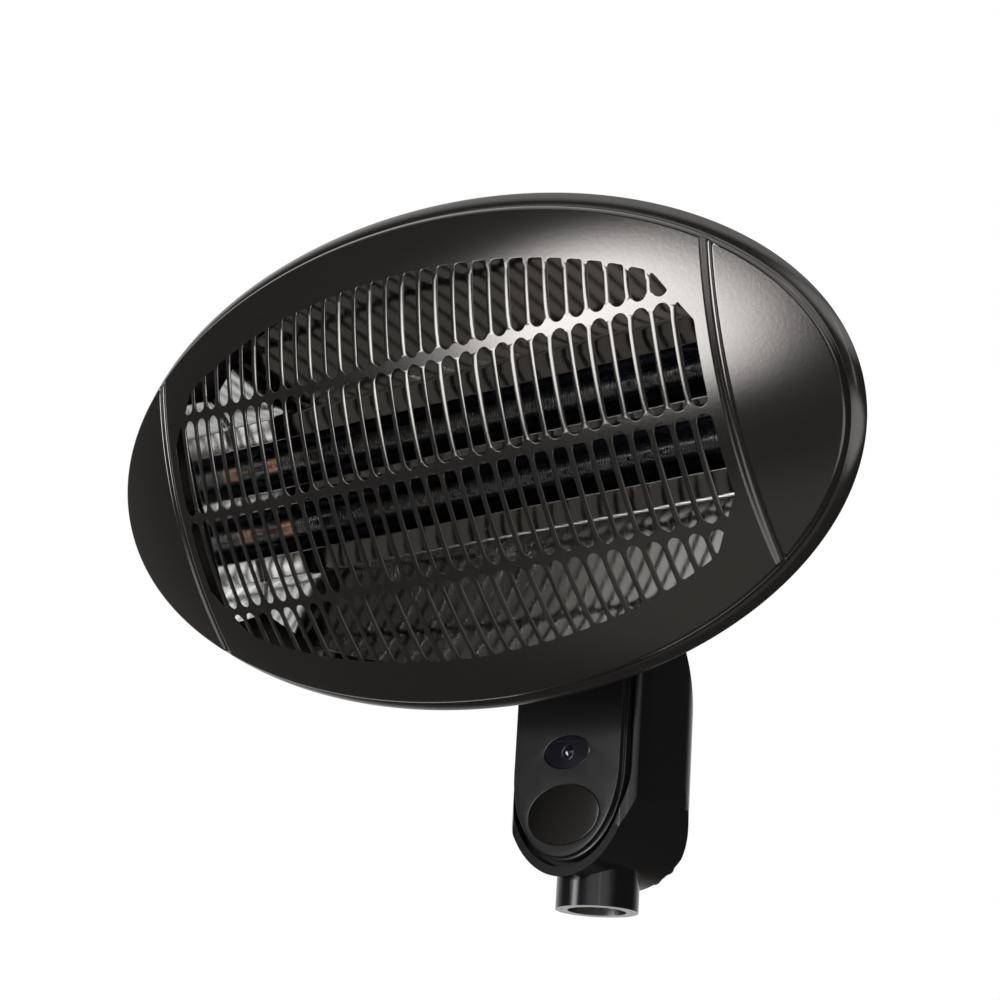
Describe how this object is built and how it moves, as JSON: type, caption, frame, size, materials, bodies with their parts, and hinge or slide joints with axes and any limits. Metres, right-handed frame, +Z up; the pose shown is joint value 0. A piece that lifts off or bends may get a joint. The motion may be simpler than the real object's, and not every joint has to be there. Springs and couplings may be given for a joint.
{
  "type": "parabolic heater head",
  "caption": "Oval electric radiant heater head with a slotted domed face, quartz tubes in a mirror reflector, tilting on a neck that slips over a stand's pole.",
  "frame": {"origin": "centre of the pole socket's mouth, at the neck's lower end", "axes": "+Z up the pole's axis, -Y the way the heated face looks, +X to the viewer's right from the front; stored at the pictured tilt, the face leaning 25 degrees forward"},
  "size_m": [0.4648, 0.2167, 0.3023],
  "materials": {
    "bronze_paint": "satin metallic bronze-brown stove paint",
    "shell_paint": "satin bronze-brown stove paint",
    "mirror_sheet": "polished aluminium sheet",
    "bare_steel": "zinc-plated steel",
    "bracket_paint": "satin black paint",
    "quartz": "clear quartz",
    "heater_wire": "oxidised resistance wire",
    "copper": "copper, heat-tinted",
    "ceramic": "white steatite, stands in for ceramic",
    "lead_sleeve": "glass-braid sleeving",
    "black_rubber": "rubber sheath",
    "neck_plastic": "glossy black moulding",
    "panel_plastic": "satin-gloss black moulding",
    "lens_plastic": "smoked plastic",
    "badge_black": "glossy black, bare",
    "knob_plastic": "grained black moulding",
    "nylon": "natural nylon",
    "board_green": "solder mask",
    "relay_blue": "relay case",
    "terminal_green": "terminal moulding"
  },
  "bodies": {
    "neck": {"tilt_axle": "bare_steel", "axle_spacer": "bare_steel", "friction_washers": "nylon", "neck_body": "neck_plastic", "neck_back_cover": "neck_plastic", "cover_screws": "bare_steel", "front_panel": "panel_plastic", "receiver_lens": "lens_plastic", "badge_plate": "badge_black", "pole_socket_sleeve": "bare_steel", "socket_screws": "bare_steel", "cable_gland": "knob_plastic", "switch_body": "knob_plastic", "switch_wires": "lead_sleeve", "control_board": "board_green", "board_screws": "bare_steel", "board_relays": "relay_blue", "board_terminals": "terminal_green", "receiver_module": "knob_plastic", "roof_grommet": "black_rubber", "neck_lead": "black_rubber", "supply_lead": "black_rubber"},
    "head": {"slotted_face_grille": "bronze_paint", "grille_posts": "bare_steel", "rear_shell": "shell_paint", "shell_screws": "bare_steel", "reflector": "mirror_sheet", "left_reflector_end": "mirror_sheet", "right_reflector_end": "mirror_sheet", "reflector_supports": "bare_steel", "support_screws": "bare_steel", "upper_quartz_tube": "quartz", "lower_quartz_tube": "quartz", "upper_heating_coil": "heater_wire", "lower_heating_coil": "heater_wire", "coil_end_sleeves": "copper", "ceramic_end_caps": "ceramic", "left_element_bracket": "bare_steel", "right_element_bracket": "bare_steel", "element_leads": "lead_sleeve", "head_terminal_block": "ceramic", "thermal_cutout": "ceramic", "tilt_bracket": "bracket_paint", "bracket_screws": "bare_steel", "bracket_nuts": "bare_steel", "bracket_grommet": "black_rubber", "head_lead": "black_rubber"},
    "tilt_knob": {"tilt_knob": "knob_plastic"},
    "clamp_knob": {"clamp_knob": "knob_plastic"},
    "switch_rocker": {"switch_rocker": "knob_plastic"}
  },
  "joints": [
    {"name": "head_tilt", "type": "hinge", "parent": "neck", "child": "head", "pos_m": [0, 0, 0.1495], "axis": [1, 0, 0], "range_deg": [-25, 20]},
    {"name": "tilt_knob_turn", "type": "hinge", "parent": "neck", "child": "tilt_knob", "pos_m": [0.0413, 0, 0.1495], "axis": [1, 0, 0], "continuous": true},
    {"name": "clamp_knob_turn", "type": "hinge", "parent": "neck", "child": "clamp_knob", "pos_m": [0, 0.0283, 0.032], "axis": [0, 1, 0], "continuous": true},
    {"name": "switch_rock", "type": "hinge", "parent": "neck", "child": "switch_rocker", "pos_m": [0, 0.02538, 0.08], "axis": [1, 0, 0], "range_deg": [-14, 0]}
  ]
}
